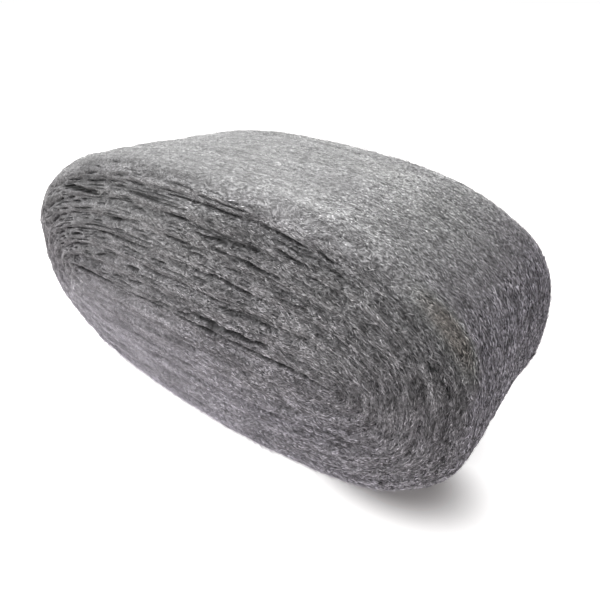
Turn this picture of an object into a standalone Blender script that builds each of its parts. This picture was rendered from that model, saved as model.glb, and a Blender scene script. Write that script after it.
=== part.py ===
"""A steel wool pad: one wide web of fine steel fibres wound on itself into a fat oblong roll.

The roll lies along X and its turns run round the Y axis, so the web's two edges show as nested
turns on the end faces at -Y (near) and +Y (far). Units are metres, +Z up, and the origin is the
middle of the small flat that the roll rests on.
"""

import math

import bmesh
import bpy

# Outer turn, which is a little larger at the near face than at the far one
NEAR_LENGTH = 0.1123
FAR_LENGTH = 0.1029
NEAR_TOP = 0.0274
FAR_TOP = 0.0249
UNDERSIDE = 0.0274
WEB_WIDTH = 0.0500

# Width of the wrap between its rounded rims
WRAP_WIDTH = 0.0390

# How far the underside is pressed flat where the roll rests
PRESSED_FLAT = 0.0013

# Roundness: 2 is an ellipse, and more is squarer
OVAL_POWER = 2.46
FACE_CROWN_POWER = 2.2
RIM_POWER = 9.0

# The web starts as a fold along the core line, and each turn adds one thickness of web
CORE_LENGTH = 0.0680
CORE_ROUNDNESS = 1.6
TURN_PITCH = 0.0038

# Valleys between the turns' edges on both end faces
VALLEY_DEPTH = 0.0015
VALLEY_SHARPNESS = 1.6
VALLEY_WANDER = 0.13
VALLEY_MEAN_STRENGTH = 0.72
RIM_MARGIN = 0.0012
VALLEY_RUN_IN = 0.0034

# Crease at the fold in the middle of the turns
CREASE_DEPTH = 0.0019
CREASE_HALF_WIDTH = 0.0020

# The web's loose end lies on the wrap at the left end, feathered out along the turn
LOOSE_END_ANGLE = math.radians(187.0)
LOOSE_END_LIP = 0.0009
LOOSE_END_FADE = math.radians(62.0)

# Hand winding leaves the wrap slightly uneven
WRAP_DIP = 0.0004

# Soft furrows run round the wrap between the bands of fibre, and are pressed out underneath
FURROW_PITCH = 0.0068
FURROW_DEPTH = 0.0008
FURROW_SHARPNESS = 1.5
FURROW_DRIFT = 0.3
FURROW_MEAN_STRENGTH = 0.6
FURROW_RIM_REACH = 0.85
FURROW_FULL_REACH = 0.99
PRESSED_ANGLE = math.radians(270.0)
PRESSED_SPAN = math.radians(48.0)

# The wrap is drawn in a little between its rims at the right end
WAIST_DEPTH = 0.0012
WAIST_ANGLE = math.radians(340.0)
WAIST_SPAN = math.radians(55.0)

# Facets: columns round a turn, and rings over each end face and over the wrap between them
TURN_COLUMNS = 70
FACE_RINGS = 29
WRAP_RINGS = 26
SECTION_RINGS = 2 * FACE_RINGS + WRAP_RINGS

WOOL_COLOUR = (0.34, 0.34, 0.35, 1.0)
WOOL_ROUGHNESS = 0.55
WOOL_METALLIC = 0.85


def clear_scene():
    """Removes whatever the file opened with."""
    for leftover in list(bpy.data.objects):
        bpy.data.objects.remove(leftover, do_unlink=True)


def mix(first, second, share):
    """Value that lies the given share of the way from first to second."""
    return first + (second - first) * share


def smooth_step(low, high, value):
    """Rises smoothly from 0 at low to 1 at high."""
    share = min(max((value - low) / (high - low), 0.0), 1.0)
    return share * share * (3.0 - 2.0 * share)


def window(angle, middle, span):
    """Rises smoothly from 0, a span away from the middle angle on either side, to 1 there."""
    away = abs((angle - middle + math.pi) % math.tau - math.pi)
    return math.cos(min(away / span, 1.0) * math.pi / 2.0) ** 2


def signed_power(value, power):
    """Raises the size of value to a power and keeps its sign."""
    return math.copysign(abs(value) ** power, value)


def section_curve(share):
    """Reach and side of a section ring; share runs from -1, the near core, to 1, the far core.

    Reach is 0 on the core line and 1 on the outer turn. Side is -1 at the near face's crown and
    1 at the far one's. Both lie on the curve reach ** FACE_CROWN_POWER + side ** RIM_POWER = 1.
    """
    rim_side = WRAP_WIDTH / WEB_WIDTH
    wrap_share = WRAP_RINGS / SECTION_RINGS
    if abs(share) < wrap_share:
        side = rim_side * share / wrap_share
        return (1.0 - abs(side) ** RIM_POWER) ** (1.0 / FACE_CROWN_POWER), side
    rim_reach = (1.0 - rim_side ** RIM_POWER) ** (1.0 / FACE_CROWN_POWER)
    reach = max(rim_reach * (1.0 - abs(share)) / (1.0 - wrap_share), 0.0)
    side = (1.0 - reach ** FACE_CROWN_POWER) ** (1.0 / RIM_POWER)
    return reach, math.copysign(side, share)


def valley_depth(reach, angle):
    """Depth of the end face below its crown, at the valley of the winding's spiral."""
    inward = (1.0 - reach) * UNDERSIDE
    wander = math.sin(2.0 * angle + 0.7) + 0.6 * math.sin(5.0 * angle + 2.1 + 6.0 * reach)
    turns_in = inward / TURN_PITCH + (angle - LOOSE_END_ANGLE) / math.tau + VALLEY_WANDER * wander
    valley = (0.5 + 0.5 * math.cos(math.tau * turns_in)) ** VALLEY_SHARPNESS
    uneven = VALLEY_MEAN_STRENGTH - 0.22 * math.cos(angle) + 0.2 * math.sin(3.0 * angle + 11.0 * reach)
    away_from_rim = smooth_step(RIM_MARGIN, RIM_MARGIN + VALLEY_RUN_IN, inward)
    spiral = VALLEY_DEPTH * valley * uneven * away_from_rim
    crease = CREASE_DEPTH * (1.0 - smooth_step(0.0, CREASE_HALF_WIDTH, reach * UNDERSIDE))
    return max(spiral, crease)


def furrow_depth(side, angle):
    """Depth of the furrows between the wrap's bands of fibre."""
    drift = math.sin(angle + 0.9) + 0.5 * math.sin(3.0 * angle + 2.0)
    bands = side * WEB_WIDTH / 2.0 / FURROW_PITCH + FURROW_DRIFT * drift
    furrow = (0.5 + 0.5 * math.cos(math.tau * bands)) ** FURROW_SHARPNESS
    strength = FURROW_MEAN_STRENGTH + (1.0 - FURROW_MEAN_STRENGTH) * math.sin(2.0 * angle + 9.0 * side)
    return FURROW_DEPTH * furrow * strength * (1.0 - window(angle, PRESSED_ANGLE, PRESSED_SPAN))


def wrap_inset(reach, side, angle):
    """Depth of the wrap below the outer turn: past the loose end, in its furrows and at its waist."""
    past_end = (angle - LOOSE_END_ANGLE) % math.tau
    lip = LOOSE_END_LIP * (1.0 - smooth_step(0.0, LOOSE_END_FADE, past_end))
    dip = WRAP_DIP * (0.5 + 0.5 * math.sin(3.0 * angle + 0.4) * math.sin(7.0 * angle + 1.9))
    furrow = furrow_depth(side, angle) * smooth_step(FURROW_RIM_REACH, FURROW_FULL_REACH, reach)
    between_rims = max(1.0 - (side * WEB_WIDTH / WRAP_WIDTH) ** 2, 0.0)
    waist = WAIST_DEPTH * window(angle, WAIST_ANGLE, WAIST_SPAN) * between_rims
    return (lip + dip) * reach + furrow + waist


def pad_point(angle, share):
    """Place of the surface point at an angle round the turns and a share of the section."""
    reach, side = section_curve(share)
    farness = (side + 1.0) / 2.0
    half_length = mix(NEAR_LENGTH, FAR_LENGTH, farness) / 2.0
    height = mix(NEAR_TOP, FAR_TOP, farness) if math.sin(angle) > 0.0 else UNDERSIDE
    inset = wrap_inset(reach, side, angle)
    rim_x = (half_length - inset) * signed_power(math.cos(angle), 2.0 / OVAL_POWER)
    rim_z = (height - inset) * signed_power(math.sin(angle), 2.0 / OVAL_POWER)
    bend = math.tanh(CORE_ROUNDNESS * math.cos(angle)) / math.tanh(CORE_ROUNDNESS)
    core_x = CORE_LENGTH / 2.0 * bend
    rest_height = UNDERSIDE - PRESSED_FLAT
    x = mix(core_x, rim_x, reach)
    y = side * WEB_WIDTH / 2.0 - math.copysign(valley_depth(reach, angle), side)
    z = max(rim_z * reach, -rest_height) + rest_height
    return x, y, z


def wind_pad(name, collection, material):
    """Makes the wound web: a sphere's rings and columns, each moved to its place on the roll."""
    shape = bmesh.new()
    bmesh.ops.create_uvsphere(shape, u_segments=TURN_COLUMNS, v_segments=SECTION_RINGS, radius=1.0)
    for vertex in shape.verts:
        around, upward, axial = vertex.co
        angle = math.atan2(upward, around) if math.hypot(around, upward) > 0.001 else math.pi / 2.0
        share = -2.0 * math.asin(min(max(axial, -1.0), 1.0)) / math.pi
        vertex.co = pad_point(angle, share)
    bmesh.ops.triangulate(shape, faces=shape.faces)
    mesh = bpy.data.meshes.new(name)
    shape.to_mesh(mesh)
    shape.free()
    mesh.shade_smooth()
    mesh.materials.append(material)
    pad = bpy.data.objects.new(name, mesh)
    collection.objects.link(pad)
    return pad


def wool_material():
    """Bright steel fibres, seen together as a dull grey metal."""
    material = bpy.data.materials.new("steel_wool")
    material.use_nodes = True
    surface = material.node_tree.nodes["Principled BSDF"]
    surface.inputs["Base Color"].default_value = WOOL_COLOUR
    surface.inputs["Roughness"].default_value = WOOL_ROUGHNESS
    surface.inputs["Metallic"].default_value = WOOL_METALLIC
    material.diffuse_color = WOOL_COLOUR
    return material


def main():
    """Builds the pad in its own collection."""
    clear_scene()
    collection = bpy.data.collections.new("Steel wool pad")
    bpy.context.scene.collection.children.link(collection)
    wind_pad("wound_pad", collection, wool_material())


main()
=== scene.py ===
"""Looks of the steel wool pad: its felted body, its loose fibres, the table and the light."""
import logging
import math
from dataclasses import dataclass, field
from enum import Enum
from functools import cached_property, partial

import bpy
import numpy as np
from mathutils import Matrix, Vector


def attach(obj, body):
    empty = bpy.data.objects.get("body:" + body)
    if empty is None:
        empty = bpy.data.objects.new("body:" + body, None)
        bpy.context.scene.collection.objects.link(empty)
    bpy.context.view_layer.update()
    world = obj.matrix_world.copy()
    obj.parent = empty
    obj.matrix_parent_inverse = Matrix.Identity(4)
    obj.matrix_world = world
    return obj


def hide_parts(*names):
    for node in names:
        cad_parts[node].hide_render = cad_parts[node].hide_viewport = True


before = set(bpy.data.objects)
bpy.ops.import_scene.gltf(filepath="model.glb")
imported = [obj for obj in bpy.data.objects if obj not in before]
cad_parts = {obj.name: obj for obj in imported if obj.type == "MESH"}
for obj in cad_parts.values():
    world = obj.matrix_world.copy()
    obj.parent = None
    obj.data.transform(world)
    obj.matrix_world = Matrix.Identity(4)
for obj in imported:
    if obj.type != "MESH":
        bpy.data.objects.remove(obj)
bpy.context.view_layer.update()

LOG = logging.getLogger("steel_wool_pad")

MM = 0.001
TINY = 1e-12
BODY = "root"
PAD_NODE = "wound_pad"
PATH_ATTRIBUTE = "winding_path"
# Attribute of the painted shade in the slits.
SLIT_SHADE_ATTRIBUTE = "slit_painted_shade"
# Attribute of the steel's tone, with its painted light and shade.
TONE_AND_LIGHT_ATTRIBUTE = "steel_tone_and_painted_light"
TINT_ATTRIBUTE = "steel_tint"
CALM_ATTRIBUTE = "steel_calm"
FIBRE_MAP = "OFBake"

# A fibre's place on its map: how far tone and tint may go, and the size of its patch
TONE_LIMITS = (0.01, 0.97)
TINT_LIMITS = (0.02, 0.96)
PATCH_WIDTH = 0.010
PATCH_HEIGHT = 0.008
PATCH_SLANT = 0.004

Values = np.ndarray | float
Colour = tuple[float, float, float]
Setting = str | bpy.types.NodeTree
Feed = float | tuple[float, ...] | bpy.types.NodeSocket


class Lie(Enum):
    """How a fibre lies: both ends under its neighbours, or one end free."""

    TUCKED = "tucked"
    RISING = "rising"


class FibreShape(Enum):
    """Length class of a fibre; its value is the heights at which a ring is cut into it to bend at."""

    SHORT = ()
    LONG = (-0.5, 0.0, 0.5)


def ease(share: Values) -> Values:
    """Smooth course from 0 to 1 over a share that runs from 0 to 1."""
    return share * share * (3.0 - 2.0 * share)


def mix(first: Values, second: Values, share: Values) -> Values:
    """Value that lies the given share of the way from first to second."""
    return first + (second - first) * share


def peaks(turns: np.ndarray, sharpness: float) -> np.ndarray:
    """Share that is 1 at each whole number of turns; the sharper, the narrower its peaks."""
    return (0.5 + 0.5 * np.cos(math.tau * turns)) ** sharpness


def signed_power(value: np.ndarray, power: float) -> np.ndarray:
    """Raises the size of each value to a power and keeps its sign."""
    return np.sign(value) * np.abs(value) ** power


def unit(vectors: np.ndarray) -> np.ndarray:
    """Vectors along the last axis, each scaled to length 1."""
    return vectors / np.maximum(np.linalg.norm(vectors, axis=-1, keepdims=True), TINY)


def deselect_all() -> None:
    """Leaves no object selected and none active, so that an operator acts on the new piece alone."""
    bpy.ops.object.select_all(action="DESELECT")
    bpy.context.view_layer.objects.active = None


@dataclass(frozen=True)
class Fade:
    """Smooth change as a value runs from low to high.

    Fields:
        low: Value up to which nothing has changed.
        high: Value from which the change is complete.
    """

    low: float
    high: float

    def rise(self, value: Values) -> np.ndarray:
        """Share that rises from 0 at the low value to 1 at the high one."""
        return ease(np.clip((value - self.low) / (self.high - self.low), 0.0, 1.0))

    def fall(self, value: Values) -> np.ndarray:
        """Share that falls from 1 at the low value to 0 at the high one."""
        return 1.0 - self.rise(value)


@dataclass(frozen=True)
class Stretch:
    """Part of a turn, strongest in its middle and faded out at both sides.

    Fields:
        middle: Angle of its middle, in degrees from +X towards +Z.
        span: Degrees from its middle to where it has faded out.
    """

    middle: float
    span: float

    def share(self, angle: np.ndarray) -> np.ndarray:
        """Strength of the stretch.

        Args:
            angle: Angles round the turns.

        Returns:
            1 in the middle of the stretch, falling to 0 at its sides.
        """
        middle, span = math.radians(self.middle), math.radians(self.span)
        away = np.abs((angle - middle + math.pi) % math.tau - math.pi)
        return np.cos(np.minimum(away / span, 1.0) * math.pi / 2.0) ** 2


@dataclass(frozen=True)
class Wave:
    """Gentle unevenness round the turn, as winding by hand leaves it.

    Fields:
        size: How far it swings to either side.
        cycles: Number of waves in one turn.
        phase: Where it starts, in radians.
        skew: Radians that it shifts over one unit across the turn.
    """

    size: float
    cycles: float
    phase: float = 0.0
    skew: float = 0.0

    def at(self, angle: np.ndarray, across: Values = 0.0) -> np.ndarray:
        """Value of the wave at each angle and place across the turn."""
        return self.size * np.sin(self.cycles * angle + self.phase + self.skew * across)


@dataclass(frozen=True)
class Winding:
    """Form of the roll: an oval of turns round Y, with crowned end faces and soft furrows.

    A place on it is given by an angle round the turns and a station across the web in metres:
    0 in the middle of the wrap, below 0 towards the near face's core, above 0 towards the far one's.

    Fields:
        near_length: Length of the outer turn at the near face.
        far_length: Its length at the far face.
        near_top: Height of the outer turn over the core line at the near face.
        far_top: Its height over the core line at the far face.
        underside: Depth of the outer turn below the core line.
        web_width: Width of the roll between the crowns of its end faces.
        wrap_width: Width of the wrap between its rounded rims.
        pressed_flat: How far the underside is pressed flat where the roll rests.
        oval_power: Squareness of the turns; 2 is an ellipse.
        face_crown_power: Squareness of the end faces' crowns.
        rim_power: Squareness of the rims.
        core_length: Length of the fold that the winding starts from.
        core_roundness: How sharply the innermost turns bend round the ends of that fold.
        turn_pitch: Thickness of one turn.
        turn_wander: How far the spiral wanders, in turns.
        turn_waves: Waves that it wanders in.
        valley_depth: Depth of the valleys between the turns' edges.
        valley_sharpness: How narrow the valleys are.
        valley_mean: Share of that depth that they have on average.
        valley_easing_right: How much shallower they are at the right end.
        valley_wave: Unevenness of their depth.
        valley_run_in: Distances in from the outer turn between which they begin.
        loose_end_angle: Angle of the web's loose end.
        loose_end_lip: Height of its lip.
        loose_end_fade: Angles past it between which the lip feathers out.
        wrap_dip: Depth of the dips in the wrap.
        dip_waves: Waves that cross in the dips.
        furrow_pitch: Distance from furrow to furrow.
        furrow_depth: Depth of the furrows.
        furrow_sharpness: How narrow the furrows are.
        furrow_wander: How far they wander, in pitches.
        furrow_waves: Waves that they wander in.
        furrow_mean: Share of the furrows' depth that they have on average.
        furrow_wave: Unevenness of their depth.
        furrow_reach: Reaches between which they begin at the rims.
        pressed: Part of the turn that is pressed flat.
        waist: Part of the turn where the wrap is drawn in between its rims.
        waist_depth: How far it is drawn in there.
        shortest_pace: Least pace along a turn, for the tight bends at the core.
    """

    near_length: float = 112.3 * MM
    far_length: float = 102.9 * MM
    near_top: float = 27.4 * MM
    far_top: float = 24.9 * MM
    underside: float = 27.4 * MM
    web_width: float = 50.0 * MM
    wrap_width: float = 39.0 * MM
    pressed_flat: float = 1.3 * MM
    oval_power: float = 2.46
    face_crown_power: float = 2.2
    rim_power: float = 9.0
    core_length: float = 68.0 * MM
    core_roundness: float = 1.6
    turn_pitch: float = 3.8 * MM
    turn_wander: float = 0.13
    turn_waves: tuple[Wave, ...] = (Wave(1.0, 2.0, 0.7), Wave(0.6, 5.0, 2.1, 6.0))
    valley_depth: float = 0.85 * MM
    valley_sharpness: float = 1.6
    valley_mean: float = 0.72
    valley_easing_right: float = 0.22
    valley_wave: Wave = Wave(0.2, 3.0, 0.0, 11.0)
    valley_run_in: Fade = Fade(1.2 * MM, 4.6 * MM)
    loose_end_angle: float = math.radians(187.0)
    loose_end_lip: float = 0.9 * MM
    loose_end_fade: Fade = Fade(0.0, math.radians(62.0))
    wrap_dip: float = 0.4 * MM
    dip_waves: tuple[Wave, Wave] = (Wave(0.5, 3.0, 0.4), Wave(1.0, 7.0, 1.9))
    furrow_pitch: float = 6.8 * MM
    furrow_depth: float = 0.5 * MM
    furrow_sharpness: float = 1.5
    furrow_wander: float = 0.3
    furrow_waves: tuple[Wave, ...] = (Wave(1.0, 1.0, 0.9), Wave(0.5, 3.0, 2.0))
    furrow_mean: float = 0.6
    furrow_wave: Wave = Wave(0.4, 2.0, 0.0, 9.0)
    furrow_reach: Fade = Fade(0.85, 0.99)
    pressed: Stretch = Stretch(270.0, 48.0)
    waist: Stretch = Stretch(340.0, 55.0)
    waist_depth: float = 1.2 * MM
    shortest_pace: float = 4.0 * MM

    @property
    def rim_station(self) -> float:
        """Station of the far rim, where the wrap ends; the near rim's is its negative."""
        return self.wrap_width / 2.0

    @property
    def rim_reach(self) -> float:
        """Reach of the rim, where the wrap's flat width ends."""
        rim_side = self.wrap_width / self.web_width
        return (1.0 - rim_side ** self.rim_power) ** (1.0 / self.face_crown_power)

    @property
    def face_run(self) -> float:
        """Distance from the rim to the core line across an end face."""
        return self.underside * self.rim_reach

    @property
    def last_station(self) -> float:
        """Station of the core line."""
        return self.rim_station + self.face_run

    @property
    def core_height(self) -> float:
        """Height of the core line above the surface that the roll rests on."""
        return self.underside - self.pressed_flat

    def section(self, station: np.ndarray) -> tuple[np.ndarray, np.ndarray]:
        """Reach, 0 on the core line to 1 on the outer turn, and side, -1 to 1 across the web.

        Args:
            station: Stations across the web.

        Returns:
            Reach and side of each station.
        """
        run = np.abs(station) - self.rim_station
        face_reach = np.clip(self.rim_reach * (1.0 - run / self.face_run), 0.0, 1.0)
        face_side = (1.0 - face_reach ** self.face_crown_power) ** (1.0 / self.rim_power)
        wrap_side = np.minimum(np.abs(station) / (self.web_width / 2.0), 1.0)
        wrap_reach = (1.0 - wrap_side ** self.rim_power) ** (1.0 / self.face_crown_power)
        on_wrap = run < 0.0
        reach = np.where(on_wrap, wrap_reach, face_reach)
        return reach, np.sign(station) * np.where(on_wrap, wrap_side, face_side)

    def inward(self, station: np.ndarray) -> np.ndarray:
        """Distance in from the outer turn, across an end face."""
        reach, _ = self.section(station)
        return (1.0 - reach) * self.underside

    def turns_in(self, angle: np.ndarray, station: np.ndarray) -> np.ndarray:
        """Number of turns in from the outer one; a valley lies at each whole number.

        Args:
            angle: Angles round the turns.
            station: Stations across the web.

        Returns:
            Number of turns at each place.
        """
        reach, _ = self.section(station)
        wander = sum(wave.at(angle, reach) for wave in self.turn_waves)
        spiral = (angle - self.loose_end_angle) / math.tau
        return self.inward(station) / self.turn_pitch + spiral + self.turn_wander * wander

    def valley(self, angle: np.ndarray, station: np.ndarray) -> np.ndarray:
        """Depth of the end faces below their crowns, in the valleys of the winding's spiral.

        Args:
            angle: Angles round the turns.
            station: Stations across the web.

        Returns:
            Depth at each place, 0 on the wrap.
        """
        reach, _ = self.section(station)
        strength = self.valley_mean - self.valley_easing_right * np.cos(angle)
        strength = strength + self.valley_wave.at(angle, reach)
        valley = peaks(self.turns_in(angle, station), self.valley_sharpness)
        return self.valley_depth * valley * strength * self.valley_run_in.rise(self.inward(station))

    def furrow(self, angle: np.ndarray, side: np.ndarray) -> np.ndarray:
        """Depth of the furrows between the wrap's bands of fibre.

        Args:
            angle: Angles round the turns.
            side: Sides across the web, from -1 to 1.

        Returns:
            Depth at each place, 0 where the roll is pressed flat.
        """
        drift = sum(wave.at(angle) for wave in self.furrow_waves)
        bands = side * self.web_width / 2.0 / self.furrow_pitch + self.furrow_wander * drift
        strength = self.furrow_mean + self.furrow_wave.at(angle, side)
        pressed = self.pressed.share(angle)
        return self.furrow_depth * peaks(bands, self.furrow_sharpness) * strength * (1.0 - pressed)

    def wrap_inset(self, reach: np.ndarray, side: np.ndarray, angle: np.ndarray) -> np.ndarray:
        """Depth of the wrap below the outer turn: past the loose end, in its furrows and at its waist.

        Args:
            reach: Reach, from 0 on the core line to 1 on the outer turn.
            side: Sides across the web, from -1 to 1.
            angle: Angles round the turns.

        Returns:
            Depth at each place.
        """
        past_end = (angle - self.loose_end_angle) % math.tau
        lip = self.loose_end_lip * self.loose_end_fade.fall(past_end)
        broad, narrow = self.dip_waves
        dip = self.wrap_dip * (0.5 + broad.at(angle) * narrow.at(angle))
        furrow = self.furrow(angle, side) * self.furrow_reach.rise(reach)
        between_rims = np.maximum(1.0 - (side * self.web_width / self.wrap_width) ** 2, 0.0)
        waist = self.waist_depth * self.waist.share(angle) * between_rims
        return (lip + dip) * reach + furrow + waist

    def place(self, angle: np.ndarray, station: np.ndarray) -> tuple[np.ndarray, np.ndarray]:
        """Points of the roll without its valleys, and its outward normals there.

        Args:
            angle: Angles round the turns, from +X towards +Z.
            station: Stations across the web.

        Returns:
            Points and normals, each with X, Y and Z on the last axis.
        """
        reach, side = self.section(station)
        farness = (side + 1.0) / 2.0
        half_length = mix(self.near_length, self.far_length, farness) / 2.0
        height = np.where(np.sin(angle) > 0.0, mix(self.near_top, self.far_top, farness), self.underside)
        inset = self.wrap_inset(reach, side, angle)
        across = signed_power(np.cos(angle), 2.0 / self.oval_power)
        upward = signed_power(np.sin(angle), 2.0 / self.oval_power)
        bend = np.tanh(self.core_roundness * np.cos(angle)) / math.tanh(self.core_roundness)
        x = mix(self.core_length / 2.0 * bend, (half_length - inset) * across, reach)
        z = np.maximum((height - inset) * upward * reach, -self.core_height) + self.core_height
        points = np.stack([x, side * self.web_width / 2.0, z], -1)
        radial_x = signed_power(across, self.oval_power - 1.0) / half_length
        radial_z = signed_power(upward, self.oval_power - 1.0) / height
        size = np.hypot(radial_x, radial_z)
        outward = self.face_crown_power * reach ** (self.face_crown_power - 1.0) / self.underside
        axial = self.rim_power * np.abs(side) ** (self.rim_power - 1.0) / (self.web_width / 2.0)
        normals = np.stack([outward * radial_x / size, np.sign(side) * axial, outward * radial_z / size], -1)
        return points, unit(normals)

    def pace(self, angle: np.ndarray, station: np.ndarray) -> np.ndarray:
        """Metres along the turn for each radian of angle.

        Args:
            angle: Angles round the turns.
            station: Stations across the web.

        Returns:
            The pace at each place, and never less than the shortest one.
        """
        step = math.radians(0.5)
        ahead, _ = self.place(angle + step, station)
        behind, _ = self.place(angle - step, station)
        return np.maximum(np.linalg.norm(ahead - behind, axis=-1) / (2.0 * step), self.shortest_pace)


@dataclass(frozen=True)
class FeltNoise:
    """Smooth random field on a lattice that closes round the turn.

    Fields:
        seed: Seed of the lattice's values.
        cells_round: Cells in one turn.
        cell_across: Width of a cell across the web.
        rows: Cells across the web before the field repeats.
    """

    seed: int
    cells_round: int
    cell_across: float
    rows: int = 211

    @cached_property
    def lattice(self) -> np.ndarray:
        """Random values at the lattice's nodes, from -1 to 1."""
        return np.random.default_rng(self.seed).uniform(-1.0, 1.0, (self.cells_round, self.rows))

    def __call__(self, angle: np.ndarray, station: np.ndarray) -> np.ndarray:
        """Reads the field.

        Args:
            angle: Angles round the turns.
            station: Stations across the web.

        Returns:
            The field's value, from -1 to 1, at each place.
        """
        along = (angle / math.tau) % 1.0 * self.cells_round
        over = station / self.cell_across + self.rows / 2.0
        column, row = np.floor(along).astype(int), np.floor(over).astype(int)
        share_along, share_over = ease(along - column), ease(over - row)
        here, ahead = column % self.cells_round, (column + 1) % self.cells_round
        near, far = row % self.rows, (row + 1) % self.rows
        near_value = mix(self.lattice[here, near], self.lattice[ahead, near], share_along)
        far_value = mix(self.lattice[here, far], self.lattice[ahead, far], share_along)
        return mix(near_value, far_value, share_over)


@dataclass(frozen=True)
class LayerGaps:
    """Thin dark gaps between the web's layers, side by side across an end face.

    Fields:
        each_turn: Number of gaps in one turn's thickness.
        width: Half width of a gap.
        depth: Depth of a gap where it is fully open.
        opening: Values of the gate between which the gap opens.
        gate: Field that opens and closes the gap along its length.
    """

    each_turn: int
    width: float
    depth: float
    opening: Fade
    gate: FeltNoise

    def cut(self, turns_in: np.ndarray, pitch: float, angle: np.ndarray, station: np.ndarray) -> np.ndarray:
        """Depth of the gaps at each place.

        Args:
            turns_in: Number of turns in from the outer one.
            pitch: Thickness of one turn.
            angle: Angles round the turns.
            station: Stations across the web.

        Returns:
            Depth below the felt's surface.
        """
        line = turns_in * self.each_turn
        off = (line - np.round(line)) * pitch / self.each_turn
        open_share = self.opening.rise(self.gate(angle, station))
        return self.depth * open_share * np.exp(-(off / self.width) ** 2)


@dataclass(frozen=True)
class Slit:
    """Dark gap between two turns on the near face, placed from the middle of the core line.

    Fields:
        x: Place of its middle along the roll.
        z: Height of its middle above the core line.
        length: Length along the turn.
        depth: How deep it runs into the face.
        rise: Slope of the slit, upwards over distance along X.
        width: Half width.
        ends: Shares of its half length between which it feathers out.
    """

    x: float
    z: float
    length: float
    depth: float
    rise: float = 0.0
    width: float = 0.26 * MM
    ends: Fade = Fade(0.5, 1.1)

    def cut(self, x: np.ndarray, z: np.ndarray) -> np.ndarray:
        """Depth of the slit.

        Args:
            x: Places along the roll.
            z: Heights above the core line.

        Returns:
            Depth at each place, feathered out at both ends.
        """
        off = z - self.z - self.rise * (x - self.x)
        along = np.abs(x - self.x) / (self.length / 2.0)
        return self.depth * np.exp(-(off / self.width) ** 2) * self.ends.fall(along)


NEAR_SLITS = (
    Slit(-29 * MM, 18.0 * MM, 19 * MM, 1.8 * MM, rise=0.08, width=0.42 * MM),
    Slit(-9 * MM, 20.6 * MM, 13 * MM, 1.2 * MM, rise=0.04, width=0.28 * MM),
    Slit(-16 * MM, 22.6 * MM, 9 * MM, 0.8 * MM, rise=0.03),
    Slit(15 * MM, 17.6 * MM, 14 * MM, 1.3 * MM, rise=-0.02),
    Slit(16 * MM, 15.2 * MM, 10 * MM, 1.2 * MM, rise=-0.03),
    Slit(-7 * MM, 13.2 * MM, 9 * MM, 1.3 * MM, rise=0.03),
    Slit(3 * MM, 14.4 * MM, 8 * MM, 1.1 * MM, rise=0.05),
    Slit(15 * MM, 10.4 * MM, 16 * MM, 1.2 * MM, rise=-0.08),
    Slit(18 * MM, 6.0 * MM, 20 * MM, 1.2 * MM, rise=-0.01),
    Slit(-20 * MM, 11.2 * MM, 9 * MM, 1.3 * MM, rise=0.02),
    Slit(-8 * MM, 3.4 * MM, 8 * MM, 1.2 * MM),
    Slit(12 * MM, 2.0 * MM, 22 * MM, 2.0 * MM, width=0.42 * MM),
    Slit(-5 * MM, 0.8 * MM, 18 * MM, 1.5 * MM, rise=0.05, width=0.30 * MM),
    Slit(14 * MM, -4.2 * MM, 16 * MM, 0.8 * MM, rise=0.04),
    Slit(1 * MM, -10.6 * MM, 14 * MM, 0.8 * MM, rise=0.03),
    Slit(9 * MM, -18.0 * MM, 24 * MM, 0.9 * MM, rise=0.01),
    Slit(-27 * MM, 5.0 * MM, 9 * MM, 1.0 * MM, rise=0.05),
    Slit(43 * MM, -12.6 * MM, 12 * MM, 0.7 * MM, rise=0.18),
)


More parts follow.
